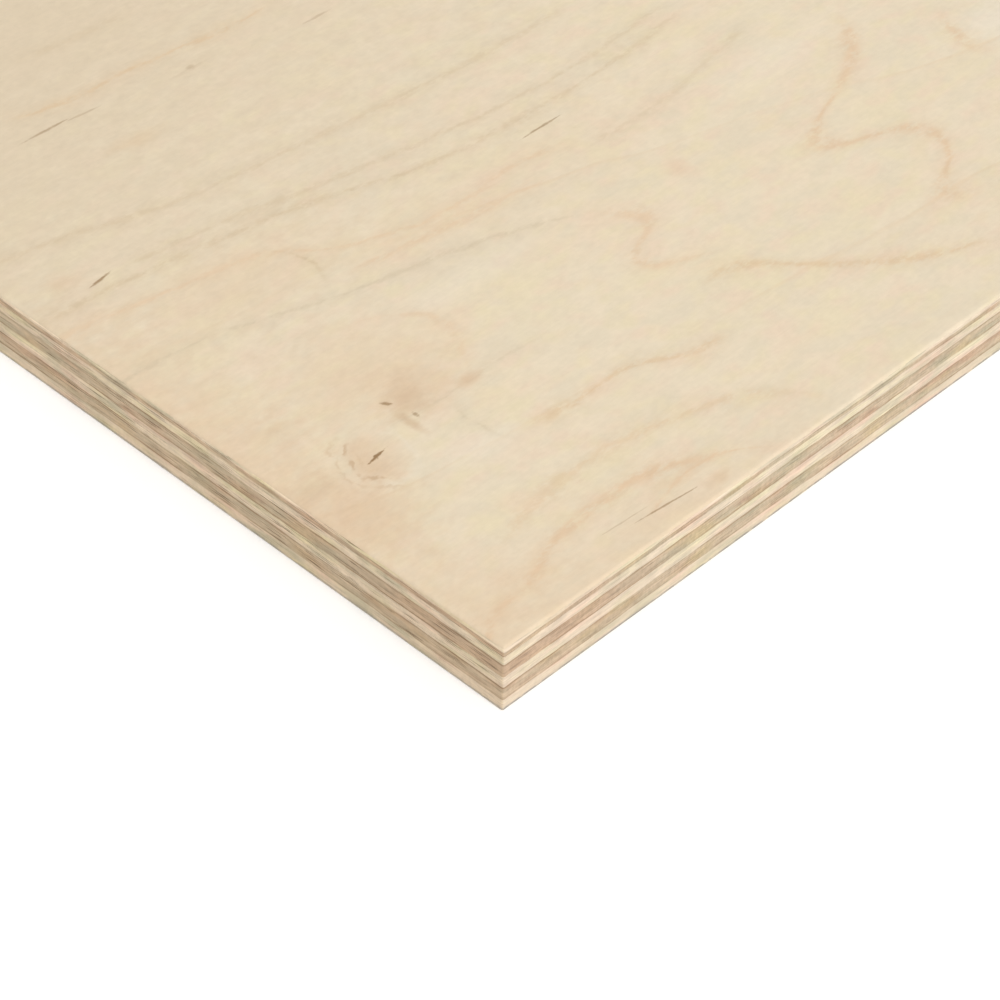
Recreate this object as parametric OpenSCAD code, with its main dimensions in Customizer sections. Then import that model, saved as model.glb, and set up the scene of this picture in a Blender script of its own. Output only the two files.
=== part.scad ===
// Birch plywood sheet: seven veneers bonded flat on each other, each with its
// grain square to that of its neighbours. It lies flat, with its face up.
// The origin is the middle of the underside, +X runs along the length, +Z is up.

/* [Sheet] */
// Length of the sheet, along the grain of its face
sheet_length = 2440; // [600:1:3050]
// Width of the sheet, across the grain of its face
sheet_width = 1220; // [300:1:1525]

/* [Veneers] */
// Thickness of the face veneer, after sanding
face_veneer_t = 0.7; // [0.4:0.05:3]
// Thickness of the thin crossband under the face veneer
face_crossband_t = 0.6; // [0.4:0.05:3]
// Thickness of the upper long-grain veneer
upper_long_band_t = 1.15; // [0.4:0.05:3]
// Thickness of the crossband in the middle of the sheet
centre_crossband_t = 1.75; // [0.4:0.05:3]
// Thickness of the lower long-grain veneer
lower_long_band_t = 1.45; // [0.4:0.05:3]
// Thickness of the crossband above the back veneer
back_crossband_t = 1.8; // [0.4:0.05:3]
// Thickness of the back veneer, after sanding
back_veneer_t = 1.55; // [0.4:0.05:3]

/* [Edges] */
// Size of the bevel that sanding leaves along the edges of the face and the back
arris = 0.15; // [0.05:0.05:0.3]

/* [Hidden] */

// Underside of each veneer above the floor, each one on top of the last
back_veneer_z = 0;
back_crossband_z = back_veneer_z + back_veneer_t;
lower_long_band_z = back_crossband_z + back_crossband_t;
centre_crossband_z = lower_long_band_z + lower_long_band_t;
upper_long_band_z = centre_crossband_z + centre_crossband_t;
face_crossband_z = upper_long_band_z + upper_long_band_t;
face_veneer_z = face_crossband_z + face_crossband_t;

// Pale veneers run with the face grain, darker ones across it
LONG_GRAIN = [0.92, 0.86, 0.76];
CROSS_GRAIN = [0.76, 0.69, 0.59];
FACE_GRAIN = [0.90, 0.83, 0.71];

// Section of an outer veneer: a strip w wide and t high, its two upper corners bevelled
module outer_section(w, t)
    polygon([
        [-w / 2, 0], [w / 2, 0],
        [w / 2, t - arris], [w / 2 - arris, t],
        [arris - w / 2, t], [-w / 2, t - arris]
    ]);

// Outer veneer t thick, lying on its glued side, bevelled along its four outer edges
module outer_veneer(t)
    intersection() {
        rotate([90, 0, 0])
            linear_extrude(sheet_width, center = true)
                outer_section(sheet_length, t);
        rotate([90, 0, 90])
            linear_extrude(sheet_length, center = true)
                outer_section(sheet_width, t);
    }

// Inner veneer t thick, its sawn edges flush with the rest of the sheet
module inner_veneer(t)
    translate([-sheet_length / 2, -sheet_width / 2, 0])
        cube([sheet_length, sheet_width, t]);

module back_veneer()
    color(LONG_GRAIN)
        translate([0, 0, back_veneer_z + back_veneer_t])
            mirror([0, 0, 1])
                outer_veneer(back_veneer_t);

module back_crossband()
    color(CROSS_GRAIN)
        translate([0, 0, back_crossband_z])
            inner_veneer(back_crossband_t);

module lower_long_band()
    color(LONG_GRAIN)
        translate([0, 0, lower_long_band_z])
            inner_veneer(lower_long_band_t);

module centre_crossband()
    color(CROSS_GRAIN)
        translate([0, 0, centre_crossband_z])
            inner_veneer(centre_crossband_t);

module upper_long_band()
    color(LONG_GRAIN)
        translate([0, 0, upper_long_band_z])
            inner_veneer(upper_long_band_t);

module face_crossband()
    color(CROSS_GRAIN)
        translate([0, 0, face_crossband_z])
            inner_veneer(face_crossband_t);

module face_veneer()
    color(FACE_GRAIN)
        translate([0, 0, face_veneer_z])
            outer_veneer(face_veneer_t);

back_veneer();
back_crossband();
lower_long_band();
centre_crossband();
upper_long_band();
face_crossband();
face_veneer();
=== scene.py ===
"""A birch plywood sheet, lying on a pale floor and seen close over its front left corner.

The seven veneers are modelled one by one over the CAD model's own boxes, then given sanded
and sawn birch finishes. Lengths are in millimetres, measured from the front left corner,
until MM turns them into the frame's metres.
"""
import bpy
import math
from mathutils import Euler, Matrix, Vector


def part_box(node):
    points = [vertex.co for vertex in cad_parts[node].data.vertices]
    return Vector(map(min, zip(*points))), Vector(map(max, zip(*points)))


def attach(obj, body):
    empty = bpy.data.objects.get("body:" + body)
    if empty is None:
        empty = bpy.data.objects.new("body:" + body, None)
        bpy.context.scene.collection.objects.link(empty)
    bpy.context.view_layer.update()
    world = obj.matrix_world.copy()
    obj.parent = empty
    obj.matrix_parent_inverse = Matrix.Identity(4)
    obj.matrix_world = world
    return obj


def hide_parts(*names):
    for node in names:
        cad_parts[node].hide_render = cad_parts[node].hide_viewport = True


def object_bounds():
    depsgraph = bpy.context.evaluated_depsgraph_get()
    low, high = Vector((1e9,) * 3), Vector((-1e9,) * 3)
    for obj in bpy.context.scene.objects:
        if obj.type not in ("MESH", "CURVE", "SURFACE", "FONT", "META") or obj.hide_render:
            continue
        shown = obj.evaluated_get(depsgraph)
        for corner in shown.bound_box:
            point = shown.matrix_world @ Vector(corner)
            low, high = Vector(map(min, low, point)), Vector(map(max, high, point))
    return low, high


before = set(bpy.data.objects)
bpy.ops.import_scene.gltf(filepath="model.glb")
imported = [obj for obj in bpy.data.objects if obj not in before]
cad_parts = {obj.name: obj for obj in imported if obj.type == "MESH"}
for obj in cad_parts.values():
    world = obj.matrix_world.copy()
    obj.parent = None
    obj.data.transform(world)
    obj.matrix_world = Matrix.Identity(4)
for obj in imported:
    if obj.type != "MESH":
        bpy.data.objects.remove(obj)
cad_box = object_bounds()

# ---------------------------------------------------------------- measures

MM = 0.001
LOW, HIGH = cad_box

# The veneers from the back up
VENEERS = ["back_veneer", "back_crossband", "lower_long_band", "centre_crossband",
           "upper_long_band", "face_crossband", "face_veneer"]
CROSSBANDS = ["back_crossband", "centre_crossband", "face_crossband"]

FINE_REACH = 160.0      # the two edges that meet there are modelled finer this far
FINE_STEP = 0.5         # spacing of the points along an edge there
COARSE_STEP = 8.0       # and everywhere else
CORNER_ROUND = 0.25     # rounding of the sheet's upright corners
FACE_ROUND = 0.4        # rounding that sanding leaves round the face
BACK_ROUND = 0.2        # and round the back
RIM = 1.5               # width of the flat border that keeps a rounding's shading off the face

# Glued surfaces rise and fall at the rim: name, size of the waves, their detail, their height
PLY_WAVES = [("ply_ripple", 1.8, 1, 0.14), ("ply_wave", 9.0, 1, 0.14), ("ply_drift", 60.0, 0, 0.16)]
TORN_FIBRES = 0.35      # depth of the fibres torn off where the saw crossed the face's grain


def at(x, y, z=0.0):
    """A place in millimetres from the front left corner, as a vector in the frame's metres."""
    return LOW + Vector((x, y, z)) * MM


# ---------------------------------------------------------------- modelling by hand

def near(a, b):
    return abs(a - b) < 1e-6


def pick_edges(obj, test):
    """Selects the edges whose two ends pass the test, and nothing else."""
    bpy.ops.object.mode_set(mode="EDIT")
    bpy.ops.mesh.select_mode(type="EDGE")
    bpy.ops.mesh.select_all(action="DESELECT")
    bpy.ops.object.mode_set(mode="OBJECT")
    corners = obj.data.vertices
    for edge in obj.data.edges:
        a, b = edge.vertices
        edge.select = test(corners[a].co, corners[b].co)
    bpy.ops.object.mode_set(mode="EDIT")


def pick_level(obj, level):
    """Selects the loop of edges that lies at one height."""
    pick_edges(obj, lambda a, b: near(a.z, level) and near(b.z, level))


def divide_rim(obj, axis, start, end, near_step):
    """Cuts the rim's edges that run along the axis between start and end into equal steps.

    The edges by the front left corner take the near step, and the far ones the coarse step.
    """
    middle, half = (start + end) / 2, (end - start) / 2
    for side, step in ((LOW, near_step), (HIGH, COARSE_STEP)):
        def runs_here(a, b):
            runs = not near(a[axis], b[axis]) and near(a[1 - axis], side[1 - axis])
            return runs and abs((a[axis] + b[axis]) / 2 - middle) < half

        count = 2 * half / (step * MM)
        rough = math.ceil(count / 100)
        for pieces in (rough, round(count / rough)):
            if pieces > 1:
                pick_edges(obj, runs_here)
                bpy.ops.mesh.subdivide(number_cuts=pieces - 1)


def veneer_blank(name, bottom, top):
    """A rectangular veneer from bottom to top, its rim divided finely near the front left corner."""
    bpy.ops.object.select_all(action="DESELECT")
    middle = (LOW + HIGH) / 2
    bpy.ops.mesh.primitive_plane_add(size=1, location=(middle.x, middle.y, bottom))
    obj = bpy.context.object
    obj.name = obj.data.name = name
    obj.scale = (HIGH.x - LOW.x, HIGH.y - LOW.y, 1)
    bpy.ops.object.transform_apply(location=True, rotation=True, scale=True)
    bpy.ops.object.mode_set(mode="EDIT")
    bpy.ops.mesh.select_all(action="SELECT")
    bpy.ops.mesh.delete(type="ONLY_FACE")
    for axis, normal in ((0, (1, 0, 0)), (1, (0, 1, 0))):
        split = LOW[axis] + FINE_REACH * MM
        bpy.ops.mesh.select_all(action="SELECT")
        bpy.ops.mesh.bisect(plane_co=at(FINE_REACH, FINE_REACH), plane_no=normal)
        divide_rim(obj, axis, LOW[axis], split, FINE_STEP)
        divide_rim(obj, axis, split, HIGH[axis], COARSE_STEP)
    bpy.ops.mesh.select_all(action="SELECT")
    bpy.ops.mesh.extrude_edges_move(TRANSFORM_OT_translate={"value": (0, 0, top - bottom)})
    for level in (bottom, top):
        pick_level(obj, level)
        bpy.ops.mesh.edge_face_add()
    bpy.ops.mesh.select_all(action="SELECT")
    bpy.ops.mesh.normals_make_consistent(inside=False)
    return obj


def set_rounding(obj, test, radius):
    """Marks the edges whose two ends pass the test, to be rounded with that radius."""
    pick_edges(obj, test)
    bpy.ops.transform.edge_bevelweight(value=radius / FACE_ROUND)


def flat_border(obj, level):
    """Divides a narrow border off the flat face at that level, so that it stays flat when shaded."""
    bpy.ops.object.mode_set(mode="OBJECT")
    for face in obj.data.polygons:
        face.select = near(face.center.z, level)
    bpy.ops.object.mode_set(mode="EDIT")
    bpy.ops.mesh.select_mode(type="FACE")
    bpy.ops.mesh.inset(thickness=0)
    size = HIGH - LOW
    middle = (LOW + HIGH) / 2
    shrink = (1 - 2 * RIM * MM / size.x, 1 - 2 * RIM * MM / size.y, 1)
    bpy.ops.transform.resize(value=shrink, center_override=(middle.x, middle.y, level))


def round_edges(obj, bottom, top):
    """Rounds the sheet's upright corners a little, and the outer edges of its face and back."""
    def upright(a, b):
        at_end = near(a.x, LOW.x) or near(a.x, HIGH.x)
        at_side = near(a.y, LOW.y) or near(a.y, HIGH.y)
        return at_end and at_side and near(a.x, b.x) and near(a.y, b.y)

    set_rounding(obj, upright, CORNER_ROUND)
    for level, outside, radius in ((bottom, LOW.z, BACK_ROUND), (top, HIGH.z, FACE_ROUND)):
        if near(level, outside):
            set_rounding(obj, lambda a, b: near(a.z, level) and near(b.z, level), radius)
            flat_border(obj, level)
    bpy.ops.object.mode_set(mode="OBJECT")
    step = obj.modifiers.new("rounding", "BEVEL")
    step.limit_method = "WEIGHT"
    step.width = FACE_ROUND * MM
    step.segments = 4
    step.use_clamp_overlap = False
    bpy.ops.object.modifier_apply(modifier=step.name)


def note_joints(obj, bottom, top):
    """Stores how far each point is from the joint below it and the joint above it, in millimetres."""
    bpy.ops.object.mode_set(mode="OBJECT")
    mesh = obj.data
    far = (HIGH.z - LOW.z) / MM
    below = [far if near(bottom, LOW.z) else (v.co.z - bottom) / MM for v in mesh.vertices]
    above = [far if near(top, HIGH.z) else (top - v.co.z) / MM for v in mesh.vertices]
    for name, values in (("joint_below", below), ("joint_above", above)):
        mesh.attributes.new(name, "FLOAT", "POINT").data.foreach_set("value", values)


def lumps(name, size, detail):
    """A soft lump pattern, its lumps size millimetres across."""
    texture = bpy.data.textures.get(name) or bpy.data.textures.new(name, "CLOUDS")
    texture.noise_scale = size * MM
    texture.noise_depth = detail
    return texture


def displace(obj, test, texture, direction, strength, level=0.5):
    """Moves the points that pass the test along an axis by the texture."""
    bpy.ops.object.select_all(action="DESELECT")
    obj.select_set(True)
    bpy.context.view_layer.objects.active = obj
    group = obj.vertex_groups.new(name="moving")
    group.add([v.index for v in obj.data.vertices if test(v.co)], 1.0, "REPLACE")
    step = obj.modifiers.new(texture.name, "DISPLACE")
    step.texture = texture
    step.texture_coords = "LOCAL"
    step.direction = direction
    step.strength = strength * MM
    step.mid_level = level
    step.vertex_group = group.name
    bpy.ops.object.modifier_apply(modifier=step.name)
    obj.vertex_groups.clear()


def wave_joints(obj, bottom, top):
    """Lets the glued surfaces rise and fall at the rim. Neighbours share the same waves."""
    glued = [level for level in (bottom, top) if not near(level, LOW.z) and not near(level, HIGH.z)]
    height = (top - bottom) / 2
    for name, size, detail, rise in PLY_WAVES:
        for level in glued:
            displace(obj, lambda co: abs(co.z - level) < height, lumps(name, size, detail), "Z", rise)


def tear_fibres(obj, level):
    """Tears small fibres off the face's two end edges, where the saw ran across its grain."""
    fibres = lumps("torn_fibres", 1.5, 2)
    reach = 1.01 * FACE_ROUND * MM
    for end, inward in ((LOW.x, 1), (HIGH.x, -1)):
        displace(obj, lambda co: near(co.z, level) and abs(co.x - end) < reach,
                 fibres, "X", inward * TORN_FIBRES, 0.3)


def finish_veneer(obj, node, materials):
    """Gives each face its material by the way it looks, ties the piece to the root body and hides its CAD
    node.
    """
    for material in materials:
        obj.data.materials.append(material)
    for face in obj.data.polygons:
        flat, long_edge = abs(face.normal.z) > 0.3, abs(face.normal.y) > abs(face.normal.x)
        face.material_index = 0 if flat else 1 if long_edge else 2
    bpy.ops.object.select_all(action="DESELECT")
    obj.select_set(True)
    bpy.context.view_layer.objects.active = obj
    bpy.ops.object.shade_smooth_by_angle(angle=math.radians(35))
    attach(obj, "root")
    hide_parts(node)


def make_veneer(node, materials):
    """One veneer, from blank to finish."""
    bottom, top = (corner[2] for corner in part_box(node))
    obj = veneer_blank(node + "_sheet", bottom, top)
    round_edges(obj, bottom, top)
    note_joints(obj, bottom, top)
    wave_joints(obj, bottom, top)
    if near(top, HIGH.z):
        tear_fibres(obj, top)
    finish_veneer(obj, node, materials)


# ---------------------------------------------------------------- shader nodes

def fill(tree, node, inputs):
    """Sets or wires a node's inputs, by name or by number."""
    for key, value in inputs.items():
        if isinstance(value, bpy.types.NodeSocket):
            tree.links.new(value, node.inputs[key])
        else:
            node.inputs[key].default_value = value


def add(tree, kind, inputs=None, out=0, **settings):
    """Adds a node and returns one of its outputs."""
    node = tree.nodes.new(kind)
    for key, value in settings.items():
        setattr(node, key, value)
    fill(tree, node, inputs or {})
    return node.outputs[out]


def calc(tree, operation, *values):
    return add(tree, "ShaderNodeMath", dict(enumerate(values)), operation=operation)


def calc_vector(tree, operation, *values, out=0):
    return add(tree, "ShaderNodeVectorMath", dict(enumerate(values)), out, operation=operation)


def ramp(tree, value, start, end, low=0.0, high=1.0):
    """Runs smoothly from low to high as the value passes from start to end."""
    inputs = {"Value": value, "From Min": start, "From Max": end, "To Min": low, "To Max": high}
    return add(tree, "ShaderNodeMapRange", inputs, interpolation_type="SMOOTHSTEP")


def ramp_three(tree, vector, start, end, low, high):
    """Runs three values at once, the parts of a vector, as ramp does one."""
    inputs = dict(enumerate((vector, start, end, low, high), 6))
    return add(tree, "ShaderNodeMapRange", inputs, 1, data_type="FLOAT_VECTOR",
               interpolation_type="SMOOTHSTEP")


def noise(tree, vector, detail=2.0, roughness=0.5):
    inputs = {"Vector": vector, "Scale": 1.0, "Detail": detail, "Roughness": roughness}
    return add(tree, "ShaderNodeTexNoise", inputs, "Fac")


def parts(tree, vector):
    return add(tree, "ShaderNodeSeparateXYZ", {0: vector}).node.outputs


def join(tree, x=0.0, y=0.0, z=0.0):
    return add(tree, "ShaderNodeCombineXYZ", {0: x, 1: y, 2: z})


def stretch(tree, place, along, across, high=0.0):
    """Shrinks a place so that noise on it has lumps that many millimetres long, wide and high."""
    size = tuple(1 / part if part else 0.0 for part in (along, across, high))
    return calc_vector(tree, "MULTIPLY", place, size)


def mix(tree, share, under, over, blend="MIX"):
    """Lays one colour over another."""
    node = add(tree, "ShaderNodeMix", data_type="RGBA", blend_type=blend).node
    fill(tree, node, {0: share, 6: under, 7: over})
    return node.outputs[2]


def lighten(tree, shade, amount):
    """Multiplies a colour by one number."""
    return mix(tree, 1.0, shade, join(tree, amount, amount, amount), "MULTIPLY")


def product(tree, *values):
    result = values[0]
    for value in values[1:]:
        result = calc(tree, "MULTIPLY", result, value)
    return result


def start_material(name):
    material = bpy.data.materials.new(name)
    material.use_nodes = True
    material.node_tree.nodes.clear()
    return material, material.node_tree


def finish_material(tree, base, roughness, gloss, bump=None):
    """A plain surface shader over the colour."""
    inputs = {"Base Color": base, "Roughness": roughness, "Specular IOR Level": gloss}
    if bump:
        inputs["Normal"] = bump
    shader = add(tree, "ShaderNodeBsdfPrincipled", inputs)
    output = tree.nodes.new("ShaderNodeOutputMaterial")
    tree.links.new(shader, output.inputs["Surface"])


class Group:
    """A node group being made: its inputs are read with [], and give() sets its outputs."""

    KINDS = {"vector": "NodeSocketVector", "value": "NodeSocketFloat", "colour": "NodeSocketColor"}

    def __init__(self, name, inputs, outputs):
        self.tree = bpy.data.node_groups.new(name, "ShaderNodeTree")
        for label, kind in inputs.items():
            self.tree.interface.new_socket(label, in_out="INPUT", socket_type=self.KINDS[kind])
        for label, kind in outputs.items():
            self.tree.interface.new_socket(label, in_out="OUTPUT", socket_type=self.KINDS[kind])
        self.start = self.tree.nodes.new("NodeGroupInput")
        self.end = self.tree.nodes.new("NodeGroupOutput")

    def __getitem__(self, label):
        return self.start.outputs[label]

    def give(self, label, value):
        self.tree.links.new(value, self.end.inputs[label])

    def put(self, tree, **inputs):
        """Places the group in a tree and returns its outputs."""
        node = tree.nodes.new("ShaderNodeGroup")
        node.node_tree = self.tree
        fill(tree, node, {key.replace("_", " "): value for key, value in inputs.items()})
        return node.outputs


# ---------------------------------------------------------------- colours

def paint(red, green, blue, light):
    """A colour seen as those screen values under the studio's light, as the paint that gives it."""
    def linear(part):
        part /= 255
        return part / 12.92 if part <= 0.04045 else ((part + 0.055) / 1.055) ** 2.4
    return tuple(light * linear(part) for part in (red, green, blue)) + (1.0,)


FACE_LIGHT = 0.885      # paint for a given colour on the face, which the key lights at a slant
EDGE_LIGHT = 0.785      # and on the sawn edges

FACE = paint(231, 215, 188, FACE_LIGHT)
FACE_PINK = paint(232, 209, 183, FACE_LIGHT)
FACE_YELLOW = paint(230, 215, 180, FACE_LIGHT)
FACE_GREY = paint(225, 211, 185, FACE_LIGHT)
FACE_WHITE = paint(235, 225, 206, FACE_LIGHT)
FACE_DARK = paint(219, 201, 173, FACE_LIGHT)
FACE_PEACH = paint(225, 199, 167, FACE_LIGHT)
RING_GREY = paint(208, 191, 162, FACE_LIGHT)
RING_BROWN = paint(209, 187, 154, FACE_LIGHT)
RING_TAN = paint(219, 190, 153, FACE_LIGHT)
RING_ROSE = paint(224, 196, 163, FACE_LIGHT)
STAIN = paint(205, 177, 144, FACE_LIGHT)
RUST = paint(216, 184, 150, FACE_LIGHT)
FLECK = paint(150, 118, 80, FACE_LIGHT)
HALO = paint(220, 188, 150, FACE_LIGHT)


def edge_tones(*colours):
    return [paint(*colour, EDGE_LIGHT) for colour in colours]


# The four tones of each kind of sawn edge: main, pink, yellow and grey
PALE_LONG_TONES = edge_tones((242, 223, 197), (246, 213, 188), (241, 228, 190), (224, 211, 182))
PALE_END_TONES = edge_tones((244, 221, 190), (238, 205, 176), (238, 220, 176), (214, 200, 168))
DARK_LONG_TONES = edge_tones((217, 195, 166), (207, 173, 145), (212, 190, 150), (196, 184, 156))
DARK_END_TONES = edge_tones((218, 195, 163), (210, 176, 144), (212, 184, 146), (198, 181, 150))
THIN_LONG_TONES = edge_tones((212, 192, 163)) + DARK_LONG_TONES[1:]
THIN_END_TONES = edge_tones((217, 189, 156)) + DARK_END_TONES[1:]
JOINT = paint(168, 138, 105, EDGE_LIGHT)
CRACK = paint(128, 104, 74, EDGE_LIGHT)
# Grey painted shade: the contact shadow along the sheet's bottom edge, where it meets the floor
PAINTED_CONTACT_SHADE = paint(140, 142, 142, EDGE_LIGHT)


# ---------------------------------------------------------------- effects in node groups

# Growth rings wander by layers of noise: length and width of the waves, detail, and how many rings high
GROWTH_WAVES = [(900, 260, 0, 26.0), (210, 75, 1, 5.0), (34, 12, 2, 0.5)]

# Streaks along a sawn edge: length and height, the noise's seed, and how much darker and lighter they are
STREAKS = [(14.0, 0.32, 0.0, 0.09), (7.0, 0.16, 21.0, 0.11), (2.2, 0.22, 5.0, 0.10), (3.0, 0.9, 15.0, 0.12)]


def make_place():
    """Millimetres from the front left corner: x along the sheet, y across it, z up."""
    group = Group("place_from_corner", {}, {"Place": "vector"})
    here = add(group.tree, "ShaderNodeTexCoord", out="Object")
    corner = tuple(-part / MM for part in LOW)
    group.give("Place", calc_vector(group.tree, "MULTIPLY_ADD", here, (1 / MM,) * 3, corner))
    return group


def make_tone():
    """Wood colour that drifts softly between four tones."""
    inputs = {"Place": "vector", "Main": "colour", "Pink": "colour", "Yellow": "colour",
              "Grey": "colour", "Amount": "value"}
    group = Group("wood_tone", inputs, {"Colour": "colour"})
    tree = group.tree
    result = group["Main"]
    for tone, offset in (("Pink", 0.0), ("Yellow", 37.0), ("Grey", 81.0)):
        patch = noise(tree, calc_vector(tree, "ADD", group["Place"], (offset,) * 3), 1.5, 0.6)
        share = product(tree, ramp(tree, patch, 0.46, 0.70), group["Amount"])
        result = mix(tree, share, result, group[tone])
    group.give("Colour", result)
    return group


def make_ring_lines():
    """Three listed growth rings: how strongly each marks a place, as a vector's parts.

    Each runs from its middle by its half length both ways, at the height that its line gives.
    """
    labels = ("Along", "Across", "Line", "Middle", "Half", "Width", "Strength", "Fade")
    group = Group("ring_lines", {label: "vector" for label in labels}, {"Masks": "vector"})
    tree = group.tree
    gap = calc_vector(tree, "SUBTRACT", group["Across"], group["Line"])
    gap = calc_vector(tree, "ABSOLUTE", gap)
    wide = calc_vector(tree, "MULTIPLY_ADD", group["Width"], (2.0,) * 3, (1.0,) * 3)
    strong = calc_vector(tree, "MULTIPLY", group["Strength"], (0.6,) * 3)
    faint = calc_vector(tree, "MULTIPLY", group["Strength"], (0.4,) * 3)
    core = ramp_three(tree, gap, group["Width"], (0.0,) * 3, (0.0,) * 3, strong)
    glow = ramp_three(tree, gap, wide, (0.0,) * 3, (0.0,) * 3, faint)
    reach = calc_vector(tree, "SUBTRACT", group["Along"], group["Middle"])
    reach = calc_vector(tree, "ABSOLUTE", reach)
    outer = calc_vector(tree, "ADD", group["Half"], (1.0,) * 3)
    inner = calc_vector(tree, "SUBTRACT", group["Half"], (5.0,) * 3)
    within = ramp_three(tree, reach, outer, inner, (0.0,) * 3, (1.0,) * 3)
    masks = calc_vector(tree, "MULTIPLY", calc_vector(tree, "ADD", core, glow), within)
    group.give("Masks", calc_vector(tree, "MULTIPLY", masks, group["Fade"]))
    return group


def make_growth():
    """Growth rings over the whole sheet: each line, and the slow darkening that leads up to it."""
    inputs = {"Place": "vector", "Spacing": "value", "Swell": "value", "Seed": "value"}
    group = Group("growth_rings", inputs, {"Line": "value", "Tone": "value"})
    tree = group.tree
    seed = join(tree, z=group["Seed"])
    level = calc(tree, "DIVIDE", parts(tree, group["Place"])[1], group["Spacing"])
    level = calc(tree, "ADD", group["Swell"], level)
    for along, across, detail, rise in GROWTH_WAVES:
        here = calc_vector(tree, "ADD", stretch(tree, group["Place"], along, across), seed)
        level = calc(tree, "MULTIPLY_ADD", noise(tree, here, detail), rise, level)
    through = calc(tree, "FRACT", level)
    ring = calc(tree, "FLOOR", level)
    strength = add(tree, "ShaderNodeTexWhiteNoise", {"W": ring}, noise_dimensions="1D")
    strength = ramp(tree, strength, 0.25, 0.9)
    line = product(tree, ramp(tree, through, 0.94, 0.98), ramp(tree, through, 1.0, 0.98), strength)
    group.give("Line", line)
    group.give("Tone", product(tree, ramp(tree, through, 0.35, 1.0), strength))
    return group


def make_fleck():
    """A pith fleck: a thin dark sliver along the grain, uneven and pointed, in a faint halo."""
    inputs = {"Place": "vector", "Centre": "vector", "Length": "value", "Width": "value", "Slope": "value"}
    group = Group("pith_fleck", inputs, {"Mark": "value", "Halo": "value"})
    tree = group.tree
    x, y, _ = parts(tree, calc_vector(tree, "SUBTRACT", group["Place"], group["Centre"]))
    ragged = noise(tree, stretch(tree, group["Place"], 1.3, 0.35), 3.0, 0.6)
    along = calc(tree, "ABSOLUTE", calc(tree, "DIVIDE", x, group["Length"]))
    side = calc(tree, "SUBTRACT", y, calc(tree, "MULTIPLY", x, group["Slope"]))
    across = calc(tree, "ABSOLUTE", calc(tree, "DIVIDE", side, group["Width"]))
    reach = calc(tree, "MULTIPLY_ADD", ragged, 1.6, calc(tree, "MULTIPLY_ADD", along, along, across))
    group.give("Mark", ramp(tree, reach, 1.75, 0.9))
    wide = join(tree, product(tree, along, 0.6), product(tree, across, 0.16))
    wide = calc(tree, "MULTIPLY_ADD", ragged, 0.8, calc_vector(tree, "LENGTH", wide, out="Value"))
    group.give("Halo", ramp(tree, wide, 1.3, 0.4))
    return group


def make_knot():
    """A pin knot: a slit in a small eye, feathered lines to its left and a pale rim to its right."""
    group = Group("pin_knot", {"Place": "vector", "Centre": "vector", "Size": "value"},
                  {"Slit": "value", "Feathers": "value", "Eye": "value", "Rim": "value"})
    tree = group.tree
    offset = calc_vector(tree, "SUBTRACT", group["Place"], group["Centre"])
    offset = calc_vector(tree, "DIVIDE", offset, join(tree, *[group["Size"]] * 3))
    x, y, _ = parts(tree, offset)
    ragged = noise(tree, stretch(tree, offset, 0.3, 0.15), 3.0, 0.6)
    ragged = calc(tree, "SUBTRACT", ragged, 0.5)
    lean = calc(tree, "ABSOLUTE", calc(tree, "MULTIPLY_ADD", x, -0.18, y))
    slit = calc(tree, "ADD", calc(tree, "ABSOLUTE", product(tree, x, 1.8)), product(tree, lean, 7.5))
    group.give("Slit", ramp(tree, calc(tree, "MULTIPLY_ADD", ragged, 2.0, slit), 1.0, 0.35))
    radius = calc_vector(tree, "LENGTH", join(tree, x, product(tree, y, 0.9)), out="Value")
    uneven = noise(tree, stretch(tree, offset, 0.9, 0.9), 2.0)
    radius = calc(tree, "MULTIPLY_ADD", calc(tree, "SUBTRACT", uneven, 0.5), 0.9, radius)
    radius = calc(tree, "MULTIPLY_ADD", ragged, 0.22, radius)
    through = calc(tree, "FRACT", product(tree, radius, 2.6))
    wave = calc(tree, "ABSOLUTE", calc(tree, "SUBTRACT", through, 0.5))
    left = product(tree, ramp(tree, x, -0.1, -0.5), ramp(tree, radius, 1.5, 1.1),
                   ramp(tree, radius, 0.5, 0.8))
    broken = ramp(tree, noise(tree, stretch(tree, offset, 0.6, 0.4), 2.0), 0.38, 0.56)
    group.give("Feathers", product(tree, ramp(tree, wave, 0.30, 0.05), left, broken))
    group.give("Eye", product(tree, ramp(tree, radius, 1.35, 0.65), ramp(tree, x, 1.8, -0.6)))
    right = ramp(tree, calc(tree, "SUBTRACT", x, y), -0.4, 0.8)
    gap = calc(tree, "ABSOLUTE", calc(tree, "SUBTRACT", radius, 1.2))
    group.give("Rim", product(tree, ramp(tree, gap, 0.22, 0.0), right))
    return group


def make_patch():
    """A soft patch with a ragged edge, as a mask: for stains, broad tones and painted light."""
    group = Group("soft_patch", {"Place": "vector", "Centre": "vector", "Size": "vector"}, {"Mask": "value"})
    tree = group.tree
    offset = calc_vector(tree, "SUBTRACT", group["Place"], group["Centre"])
    offset = calc_vector(tree, "DIVIDE", offset, group["Size"])
    ragged = noise(tree, stretch(tree, group["Place"], 3.0, 2.0), 3.0, 0.6)
    radius = calc_vector(tree, "LENGTH", offset, out="Value")
    radius = calc(tree, "MULTIPLY_ADD", ragged, 0.9, radius)
    group.give("Mask", ramp(tree, radius, 1.5, 0.5))
    return group


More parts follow.
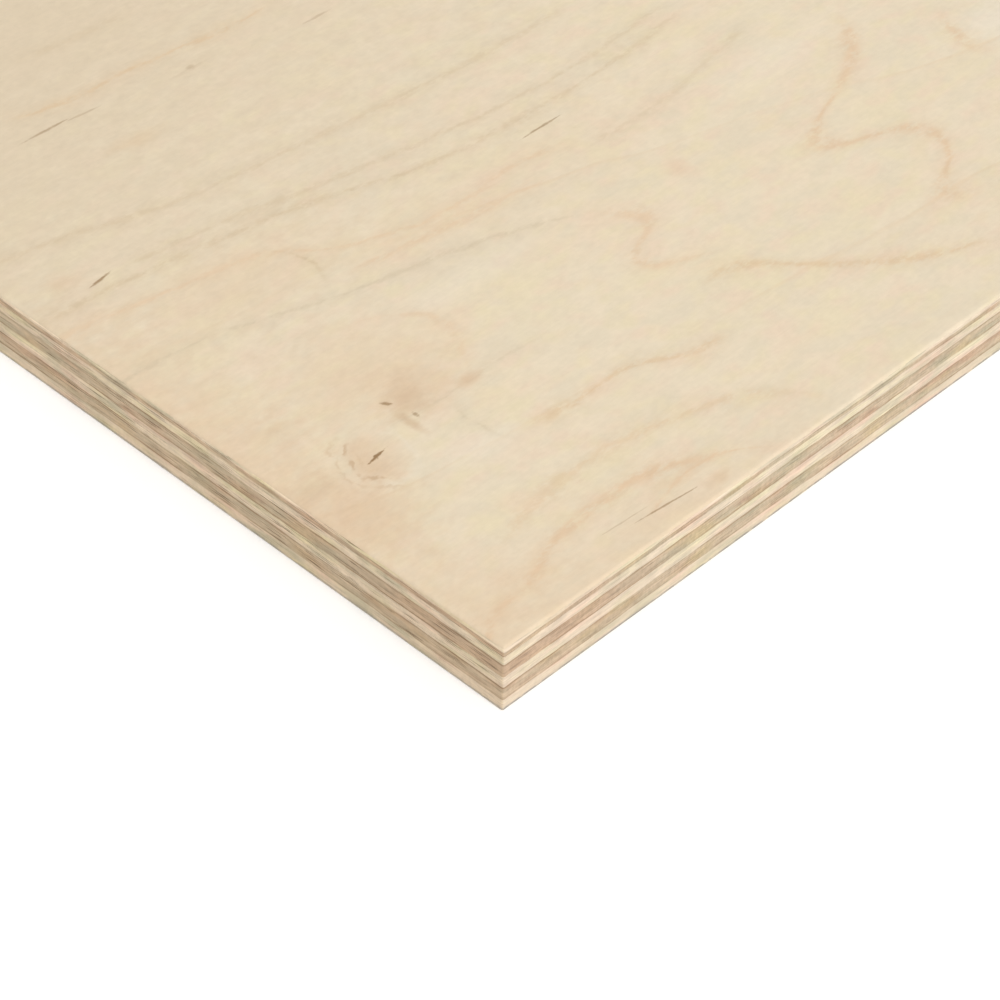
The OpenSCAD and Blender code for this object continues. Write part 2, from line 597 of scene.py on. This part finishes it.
def make_sawn_edge():
    """The sawn edge of a veneer: streaks along it, cracks, end-grain hatching and its joints, with a
    painted highlight near its top and painted shade along its bottom.
    """
    inputs = {"Place": "vector", "Tone": "colour", "Streaks": "value", "Cracks": "value",
              "Hatching": "value", "Joints": "value", "Scuff": "value", "Worn": "value"}
    group = Group("sawn_edge", inputs, {"Colour": "colour", "Relief": "value"})
    tree = group.tree
    x, y, up = parts(tree, group["Place"])
    run = calc(tree, "ADD", x, y)

    def pattern(along, high, detail=2.0, seed=0.0):
        """Noise over the edge, its lumps that many millimetres long and high."""
        place = join(tree, calc(tree, "DIVIDE", run, along), calc(tree, "DIVIDE", up, high), seed)
        return noise(tree, place, detail, 0.55)

    streaks = 0.0
    for along, high, seed, depth in STREAKS:
        streak = ramp(tree, pattern(along, high, seed=seed), 0.3, 0.7, -depth, depth)
        streaks = calc(tree, "ADD", streak, streaks)
    calm = ramp(tree, up, 1.4, 1.8, 0.6, 1.1)       # the lowest veneer has fewer streaks
    streaks = product(tree, streaks, calm, group["Streaks"])
    hatching = ramp(tree, pattern(0.45, 0.8, seed=9.0), 0.3, 0.7, -0.12, 0.12)
    hatching = product(tree, hatching, group["Hatching"])
    relief = calc(tree, "ADD", streaks, hatching)
    # Painted light: just under the face's rounded arris the edge is lightened or darkened by this factor,
    # as a highlight where the rounding turns to the light
    painted_arris_light = ramp(tree, up, 8.2, 8.7, 1.0, group["Worn"])
    result = lighten(tree, group["Tone"], calc(tree, "ADD", relief, painted_arris_light))

    fine = ramp(tree, pattern(5.0, 0.14, seed=3.0), 0.55, 0.63)
    where = ramp(tree, pattern(9.0, 0.9, 1.0, seed=7.0), 0.42, 0.56)
    cracks = product(tree, fine, where, calm, group["Cracks"])
    result = mix(tree, cracks, result, CRACK)

    below = add(tree, "ShaderNodeAttribute", out="Fac", attribute_name="joint_below")
    above = add(tree, "ShaderNodeAttribute", out="Fac", attribute_name="joint_above")
    to_joint = calc(tree, "MINIMUM", below, above)
    to_joint = calc(tree, "SUBTRACT", to_joint, 0.15)
    ragged = calc(tree, "MULTIPLY_ADD", pattern(1.2, 0.5, seed=17.0), 0.3, to_joint)
    patchy = ramp(tree, pattern(12.0, 0.9, seed=11.0), 0.40, 0.62)
    glue = product(tree, ramp(tree, ragged, 0.30, 0.06), patchy, group["Joints"])
    result = mix(tree, glue, result, JOINT)

    # Painted shade: a grey contact shadow over the lowest half millimetre of the edge, broken up by noise
    shade_breakup = ramp(tree, pattern(1.6, 0.5, seed=13.0), 0.25, 0.55)
    painted_contact_shade = product(tree, ramp(tree, up, 0.55, 0.25), shade_breakup, group["Scuff"])
    result = mix(tree, painted_contact_shade, result, PAINTED_CONTACT_SHADE)
    group.give("Colour", result)
    group.give("Relief", calc(tree, "SUBTRACT", relief, product(tree, cracks, 0.3)))
    return group


place_group = make_place()
tone_group = make_tone()
ring_group = make_ring_lines()
growth_group = make_growth()
fleck_group = make_fleck()
knot_group = make_knot()
patch_group = make_patch()
sawn_group = make_sawn_edge()

# ---------------------------------------------------------------- the face's figure

REACH = 130.0   # the drawn marks lie within this far of the corner
TALL = 1e6      # height of a stain, so that only its length and width shape it

# Patches of colour all over the face: their length, width and strength
FACE_PATCHES = [(17.0, 9.0, 0.6), (5.0, 3.2, 0.65), (420.0, 150.0, 0.5)]

# Growth rings near the corner: the colour, half width and strength of the line, and its points.
# A ring along the sheet has points (along, across), and a ring across it (across, along).
RINGS_ALONG = [
    (RING_BROWN, 0.8, 0.4, [(29, 113), (36, 112), (49, 111)]),
    (RING_TAN, 0.7, 0.7, [(21, 104.2), (28, 102.3), (40, 101.7), (54, 100.2), (62, 100.5)]),
    (RING_BROWN, 0.8, 0.5, [(3, 83.5), (12, 81.7), (24, 78.3), (44, 75.8), (64, 74.3), (87, 73.8)]),
    (RING_BROWN, 0.7, 0.5, [(12, 73), (27, 71.2), (39, 68.8), (58, 65.8), (75, 64.5), (97, 66)]),
    (RING_BROWN, 0.7, 0.6, [(2, 71.6), (21, 69.6), (37, 66.7), (49, 63.1), (65, 61.5), (83, 61.8),
                            (97, 63.5)]),
    (RING_ROSE, 0.7, 0.7, [(1, 68), (15, 65.8), (26, 63.6), (33, 58.5), (47, 54.6), (58, 55.4),
                           (67, 54.2)]),
    (RING_ROSE, 0.8, 0.7, [(30, 54.2), (50, 52), (60, 51)]),
    (RING_GREY, 0.5, 0.6, [(0, 57.7), (12, 56.7), (27, 52), (40, 49.2), (50, 46.3), (58, 43)]),
    (RING_BROWN, 0.9, 0.4, [(66, 51.7), (80, 51.9), (92, 54), (102, 56.3)]),
    (RING_ROSE, 1.1, 1.0, [(0, 2.2), (3, 4), (9.5, 5), (14, 7), (23, 8), (32, 6.8), (38, 3.4)]),
    (RING_ROSE, 0.5, 0.9, [(23, 2.5), (30, 4.4), (34.5, 4.9), (37.5, 4.2), (43, 0.5)]),
    (RING_TAN, 1.3, 0.5, [(10, 10.5), (17, 12.5), (27, 13.4), (36, 12), (47, 8.3), (53, 2)]),
    (RING_TAN, 0.9, 0.7, [(25, 22), (31, 21.2), (41, 20.8), (48, 17.6), (54, 17.2)]),
    (RING_TAN, 1.0, 0.7, [(57, 24.3), (62, 24.6), (69, 18.5), (76, 12.5), (88, 6.7)]),
    (RING_GREY, 0.4, 0.5, [(14, 32), (22, 31.5), (30, 31.7), (38, 31.2)]),
]
RINGS_ACROSS = [
    (RING_ROSE, 1.8, 0.9, [(12.5, 94.5), (14.2, 91.7), (16.3, 90.5), (20.8, 96.7), (24.5, 98.8),
                           (28, 97), (32.5, 87.6), (35.5, 89.8), (38.3, 96.5), (43, 105.4), (49.6, 110)]),
    (RING_ROSE, 1.6, 0.8, [(30, 116.6), (34, 116.4), (38, 117.8), (41.5, 120)]),
    (RING_ROSE, 2.0, 0.75, [(26.5, 67), (28.8, 60.5), (33, 55.3), (37, 61.6), (40.5, 60.5),
                            (43.5, 57)]),
    (RING_ROSE, 0.7, 0.6, [(31.8, 27.5), (35.8, 29.8), (40.5, 32), (45, 29.3), (48.3, 20)]),
    (RING_BROWN, 0.5, 0.7, [(54, 27.1), (59.6, 28.7), (64, 26.6)]),
    (RING_GREY, 0.6, 0.6, [(22, 23.1), (26.6, 22.2), (30.8, 22.9)]),
]

# Pith flecks near the corner: along, across, half length, half width, slope, strength
FLECKS = [
    (23.7, 99.2, 4.6, 0.34, 0.00, 0.55), (29.0, 98.7, 3.2, 0.3, -0.08, 0.3),
    (9.7, 73.0, 2.3, 0.36, 0.20, 0.8), (66.0, 58.5, 4.2, 0.3, 0.02, 0.65),
    (27.3, 2.9, 5.8, 0.20, -0.09, 0.65), (63.0, 94.2, 3.0, 0.4, 0.00, 0.3),
    (22.0, 4.3, 5.0, 0.16, -0.05, 0.3), (17.7, 35.0, 0.7, 0.6, -0.9, 0.75),
    (18.7, 31.5, 0.4, 0.8, 0.00, 0.6), (44.6, 97.1, 0.9, 0.7, 0.00, 0.25),
]

# Broad tones and painted light near the corner, laid under the rings: colour, strength, along,
# across, half length and half width
TONES_AND_PAINTED_LIGHT = [
    # Painted shade: the face darkening towards its left end, some 130 mm back, as the light falls off there
    (FACE_DARK, 1.0, 0, 130, 150, 100),
    (FACE_PEACH, 0.85, -4, 38, 17, 48), (FACE_PEACH, 0.6, 20, -4, 45, 14), (FACE_PEACH, 0.35, 3, 6, 14, 10),
    (FACE_PEACH, 0.5, 20, 40, 18, 13), (FACE_PEACH, 0.4, 20, 62, 22, 9), (FACE_PEACH, 0.2, 55, 55, 40, 8),
    # The first two here are a painted highlight: a pale bluish sheen of the light far along the face
    (FACE_WHITE, 0.5, 123, 34, 12, 7), (FACE_WHITE, 0.3, 95, 48, 14, 5),
    (FACE_WHITE, 0.3, 38, 44, 14, 3), (FACE_WHITE, 0.3, 20, 23, 7, 4),
]

# Stains, laid over the rings, their values in the same order
STAINS = [
    (RUST, 0.4, 4.0, 24.0, 8.0, 10.0), (STAIN, 0.35, 1.8, 30.5, 4.0, 2.6),
    (RUST, 0.4, 21.3, 34.8, 6.5, 6.0), (STAIN, 0.4, 20.0, 34.0, 4.0, 3.6),
    (STAIN, 0.6, 17.4, 31.3, 0.9, 3.8), (STAIN, 0.25, 6.8, 39.5, 3.0, 3.5),
    (RUST, 0.6, 27.1, 31.8, 2.4, 1.5), (RUST, 0.3, 71.5, 41.5, 2.5, 2.5),
    (RUST, 0.35, 34, 1.8, 2.8, 1.4), (RING_TAN, 0.4, 30, 90.3, 5.0, 2.0),
    (RUST, 0.35, 6.5, 75.5, 3.0, 2.5),
]
KNOT = (11.0, 29.6, 0.0)    # where the pin knot is
KNOT_SIZE = 3.4


def draw_three_rings(tree, rings, along, across, swell, fade):
    """Three growth rings, each a smooth curve through its points, as three masks."""
    here = calc(tree, "DIVIDE", along, REACH)
    curve = add(tree, "ShaderNodeVectorCurve", {"Fac": 1.0, "Vector": here}).node
    middles, halves = [], []
    for line, (_, _, _, points) in zip(curve.mapping.curves, rings):
        for _ in points[2:]:
            line.points.new(0.5, 0.5)
        for knob, (a, b) in zip(line.points, points):
            knob.location = (a / REACH, b / REACH)
        start, end = points[0][0], points[-1][0]
        if start <= 3:
            start = -10.0       # a ring that comes in over the sheet's edge has its full strength there
        middles.append((start + end) / 2)
        halves.append((end - start) / 2)
    curve.mapping.extend = "HORIZONTAL"
    curve.mapping.update()
    line = calc_vector(tree, "MULTIPLY", curve.outputs[0], (REACH,) * 3)
    _, widths, strengths, _ = zip(*rings)
    width = calc_vector(tree, "MULTIPLY", widths, swell)
    masks = ring_group.put(tree, Along=along, Across=across, Line=line, Middle=middles, Half=halves,
                           Width=width, Strength=strengths, Fade=fade)["Masks"]
    return parts(tree, masks)


def draw_corner_rings(tree, shade, place):
    """The rings that show near the corner, as uneven lines over the face's colour."""
    wander = noise(tree, stretch(tree, place, 5.0, 2.2), 3.0, 0.65)
    wander = product(tree, calc(tree, "SUBTRACT", wander, 0.5), 1.6)
    x, y, _ = parts(tree, place)
    swell = ramp(tree, noise(tree, stretch(tree, place, 9.0, 9.0), 1.0), 0.3, 0.7, 0.6, 1.5)
    fade = ramp(tree, noise(tree, stretch(tree, place, 3.0, 1.4), 3.0, 0.8), 0.36, 0.58, 0.3, 1.0)
    for rings, along, across in ((RINGS_ALONG, x, y), (RINGS_ACROSS, y, x)):
        uneven = calc(tree, "ADD", across, wander)
        for first in range(0, len(rings), 3):
            three = rings[first:first + 3]
            masks = draw_three_rings(tree, three, along, uneven, swell, fade)
            for mask, ring in zip(masks, three):
                shade = mix(tree, mask, shade, ring[0])
    return shade


def lay_knot(tree, shade, knot, strength):
    shade = mix(tree, product(tree, knot["Eye"], 0.5, strength), shade, RUST)
    shade = mix(tree, product(tree, knot["Rim"], 0.18, strength), shade, FACE_WHITE)
    shade = mix(tree, product(tree, knot["Feathers"], 0.9, strength), shade, STAIN)
    return mix(tree, product(tree, knot["Slit"], 0.95, strength), shade, FLECK)


def lay_fleck(tree, shade, fleck, strength):
    shade = mix(tree, product(tree, fleck["Halo"], 0.45, strength), shade, HALO)
    return mix(tree, product(tree, fleck["Mark"], strength), shade, FLECK)


def lay_patches(tree, shade, place, stains):
    for tone, strength, x, y, length, width in stains:
        mask = patch_group.put(tree, Place=place, Centre=(x, y, 0), Size=(length, width, TALL))["Mask"]
        shade = mix(tree, product(tree, mask, strength), shade, tone)
    return shade


def draw_corner_marks(tree, shade, place):
    """The stains and flecks that show near the corner."""
    shade = lay_patches(tree, shade, place, STAINS)
    for x, y, length, width, slope, strength in FLECKS:
        fleck = fleck_group.put(tree, Place=place, Centre=(x, y, 0), Length=length, Width=width,
                                Slope=slope)
        shade = mix(tree, product(tree, fleck["Mark"], strength), shade, FLECK)
    return shade


def scatter(tree, place, cell, seed, share):
    """Random spots, about one to a cell: the nearest one's centre, whether it is there, its size."""
    flat = calc_vector(tree, "MULTIPLY", place, (1.0, 1.0, 0.0))
    shifted = calc_vector(tree, "ADD", flat, (seed, seed, 0.0))
    node = add(tree, "ShaderNodeTexVoronoi", {"Vector": shifted, "Scale": 1 / cell},
               voronoi_dimensions="2D").node
    centre = calc_vector(tree, "SUBTRACT", node.outputs["Position"], (seed, seed, 0.0))
    chance, size, _ = parts(tree, node.outputs["Color"])
    return centre, ramp(tree, chance, share, share - 0.02), size


def lay_growth(tree, shade, place, swell, seed, faint):
    """Growth rings over the whole sheet, stronger in some places than in others."""
    growth = growth_group.put(tree, Place=place, Spacing=13.0, Swell=swell, Seed=seed)
    fade = ramp(tree, noise(tree, stretch(tree, place, 40.0, 14.0), 1.0, 0.6), 0.3, 0.65, 0.15, 1.0)
    shade = mix(tree, product(tree, growth["Tone"], fade, faint, 0.35), shade, RING_TAN)
    return mix(tree, product(tree, growth["Line"], fade, faint), shade, RING_TAN)


def lay_scattered_flecks(tree, shade, place, seed, away):
    centre, there, size = scatter(tree, place, 42.0, seed * 90.0, 0.5)
    length = calc(tree, "MULTIPLY_ADD", size, 4.0, 1.5)
    width = calc(tree, "MULTIPLY_ADD", size, 0.4, 0.25)
    fleck = fleck_group.put(tree, Place=place, Centre=centre, Slope=0.0, Length=length, Width=width)
    return lay_fleck(tree, shade, fleck, product(tree, there, away, 0.85))


def face_material(name, seed, drawn):
    """Sanded birch. With drawn set, the corner nearest the front left has its drawn marks."""
    material, tree = start_material(name)
    place = place_group.put(tree)["Place"]
    shade = FACE
    for along, across, amount in FACE_PATCHES:
        shade = tone_group.put(tree, Place=stretch(tree, place, along, across), Main=shade, Pink=FACE_PINK,
                               Yellow=FACE_YELLOW, Grey=FACE_GREY, Amount=amount)["Colour"]

    # Away from the drawn corner the rings, flecks and knots are scattered at random
    away = faint = 1.0
    if drawn:
        reach = calc_vector(tree, "LENGTH", stretch(tree, place, 128.0, 112.0), out="Value")
        away = ramp(tree, reach, 0.85, 1.2)
        faint = calc(tree, "MULTIPLY_ADD", away, 0.75, 0.25)
    bands = ramp(tree, noise(tree, stretch(tree, place, 800.0, 150.0), 0.0), 0.42, 0.72)
    shade = mix(tree, product(tree, bands, away, 0.75), shade, FACE_DARK)
    knot_at, knot_there, knot_size = scatter(tree, place, 260.0, seed * 50.0, 0.75)
    knot_there = product(tree, knot_there, away)
    from_knot = calc_vector(tree, "SUBTRACT", place, knot_at)
    from_knot = calc_vector(tree, "LENGTH", stretch(tree, from_knot, 42.0, 22.0), out="Value")
    swell = product(tree, ramp(tree, from_knot, 1.6, 0.0, 0.0, 1.6), knot_there)
    shade = lay_growth(tree, shade, place, swell, seed, faint)
    if drawn:
        # Broad tones, with painted shade towards the far left and a painted highlight far along the face
        shade = lay_patches(tree, shade, place, TONES_AND_PAINTED_LIGHT)
        shade = draw_corner_rings(tree, shade, place)
    shade = lay_scattered_flecks(tree, shade, place, seed, away)
    knot_size = calc(tree, "MULTIPLY_ADD", knot_size, 3.0, 2.0)
    if drawn:
        shade = draw_corner_marks(tree, shade, place)
        by_corner = calc(tree, "LESS_THAN", reach, 0.85)
        scattered = calc(tree, "SUBTRACT", 1.0, by_corner)
        knot_at = mix(tree, by_corner, knot_at, KNOT + (1.0,))
        knot_size = calc(tree, "ADD", product(tree, knot_size, scattered),
                         product(tree, by_corner, KNOT_SIZE))
        knot_there = calc(tree, "MAXIMUM", knot_there, by_corner)
    knot = knot_group.put(tree, Place=place, Centre=knot_at, Size=knot_size)
    shade = lay_knot(tree, shade, knot, knot_there)

    fibres = noise(tree, stretch(tree, place, 4.0, 0.3), 3.0, 0.6)
    mottle = noise(tree, stretch(tree, place, 1.1, 0.8), 3.0, 0.6)
    blotch = noise(tree, stretch(tree, place, 3.2, 2.4), 2.0)
    grain = 0.0
    for pattern, depth in ((fibres, 0.012), (mottle, 0.022), (blotch, 0.012)):
        grain = calc(tree, "ADD", ramp(tree, pattern, 0.3, 0.7, -depth, depth), grain)
    shade = lighten(tree, shade, calc(tree, "ADD", grain, 1.0))
    bump = add(tree, "ShaderNodeBump", {"Height": mottle, "Strength": 0.6, "Distance": 0.04 * MM})
    roughness = ramp(tree, mottle, 0.3, 0.7, 0.52, 0.64)
    finish_material(tree, shade, roughness, 0.3, bump)
    return material


def edge_material(name, tones, flush, **marks):
    """The sawn edge of a veneer: its tones, its pinkness by the corner, and its sawn_edge marks."""
    material, tree = start_material(name)
    place = place_group.put(tree)["Place"]
    x, y, up = parts(tree, place)
    run = calc(tree, "ADD", x, y)
    patch = join(tree, calc(tree, "DIVIDE", run, 8.0), calc(tree, "DIVIDE", up, 2.0))
    main, pink, yellow, grey = tones
    tone = tone_group.put(tree, Place=patch, Main=main, Pink=pink, Yellow=yellow, Grey=grey,
                          Amount=0.9)["Colour"]
    by_corner = product(tree, ramp(tree, run, 28.0, 8.0), ramp(tree, up, 3.2, 4.9, 0.3, 1.0))
    tone = mix(tree, product(tree, by_corner, flush), tone, pink)
    sawn = sawn_group.put(tree, Place=place, Tone=tone, **marks)
    relief = {"Height": sawn["Relief"], "Strength": 0.5, "Distance": 0.15 * MM}
    bump = add(tree, "ShaderNodeBump", relief)
    finish_material(tree, sawn["Colour"], 0.75, 0.2, bump)
    return material


# ---------------------------------------------------------------- the sheet

face = face_material("sanded_birch_face", 3.0, drawn=True)
back = face_material("sanded_birch_back", 8.0, drawn=False)
pale_edges = [
    edge_material("pale_veneer_long_edge", PALE_LONG_TONES, 0.2, Streaks=0.55, Cracks=0.15,
                  Hatching=0.2, Joints=0.1, Scuff=0.75, Worn=0.99),
    edge_material("pale_veneer_end_edge", PALE_END_TONES, 0.0, Streaks=0.6, Cracks=0.7,
                  Hatching=0.3, Joints=0.15, Scuff=0.5, Worn=1.1),
]
dark_edges = [
    edge_material("dark_veneer_long_edge", DARK_LONG_TONES, 0.7, Streaks=0.6, Cracks=0.4,
                  Hatching=0.6, Joints=0.75, Scuff=0.0, Worn=1.0),
    edge_material("dark_veneer_end_edge", DARK_END_TONES, 0.6, Streaks=0.6, Cracks=0.9,
                  Hatching=0.3, Joints=1.0, Scuff=0.0, Worn=1.0),
]
thin_edges = [
    edge_material("thin_crossband_long_edge", THIN_LONG_TONES, 0.4, Streaks=0.6, Cracks=0.3,
                  Hatching=0.6, Joints=0.0, Scuff=0.0, Worn=1.0),
    edge_material("thin_crossband_end_edge", THIN_END_TONES, 0.6, Streaks=0.8, Cracks=0.6,
                  Hatching=0.3, Joints=0.0, Scuff=0.0, Worn=1.0),
]

for node in VENEERS:
    if node in CROSSBANDS:
        long_edge, end_edge = thin_edges if node == "face_crossband" else dark_edges
        make_veneer(node, [end_edge, long_edge, end_edge])
    else:
        make_veneer(node, [face if node == "face_veneer" else back] + pale_edges)

# ---------------------------------------------------------------- floor, light and camera

FLOOR_SIZE = 60                     # metres
AMBIENT = 0.65                      # light from all round
KEY = (-0.065, -0.377, 0.52)        # where the key light comes from, its length is its strength
KEY_SOFTNESS = 25                   # degrees across
AIM = (15.375, 15.625, 9.0)         # the camera looks at this place on the face
DISTANCE = 341.7                    # from this far
HEADING, PITCH, ROLL = 43.69, 42.26, 1.08       # degrees
LENS = 117.93


def make_floor():
    bpy.ops.object.select_all(action="DESELECT")
    bpy.ops.mesh.primitive_plane_add(size=FLOOR_SIZE, location=(0, 0, LOW.z))
    floor = bpy.context.object
    floor.name = floor.data.name = "floor"
    material, tree = start_material("pale_floor")
    finish_material(tree, (0.95, 0.95, 0.95, 1.0), 0.9, 0.1)
    floor.data.materials.append(material)


def make_light():
    """A bright plain studio: even light all round, and a broad soft key from the front right."""
    world = bpy.data.worlds.new("studio")
    world.use_nodes = True
    tree = world.node_tree
    seen = add(tree, "ShaderNodeLightPath", out="Is Camera Ray")
    strength = ramp(tree, seen, 0.0, 1.0, AMBIENT, 1.0)     # the backdrop itself looks white
    fill(tree, tree.nodes["Background"], {"Color": (1.0, 1.0, 1.0, 1.0), "Strength": strength})
    bpy.context.scene.world = world
    towards = Vector(KEY)
    light = bpy.data.lights.new("key", "SUN")
    light.energy = towards.length * math.pi
    light.angle = math.radians(KEY_SOFTNESS)
    lamp = bpy.data.objects.new("key", light)
    lamp.rotation_euler = towards.to_track_quat("Z", "Y").to_euler()
    bpy.context.collection.objects.link(lamp)


def make_camera():
    """Close over the front left corner, looking down along the sheet's diagonal."""
    data = bpy.data.cameras.new("camera")
    data.lens = LENS
    data.clip_start = 0.01
    camera = bpy.data.objects.new("camera", data)
    heading, pitch, roll = (math.radians(angle) for angle in (HEADING, PITCH, ROLL))
    turn = Euler((math.pi / 2 - pitch, 0, heading - math.pi / 2)).to_quaternion()
    camera.location = at(*AIM) + turn @ Vector((0, 0, DISTANCE * MM))
    camera.rotation_euler = (turn @ Euler((0, 0, roll)).to_quaternion()).to_euler()
    bpy.context.collection.objects.link(camera)
    bpy.context.scene.camera = camera


make_floor()
make_light()
make_camera()
bpy.context.scene.view_settings.view_transform = "Standard"
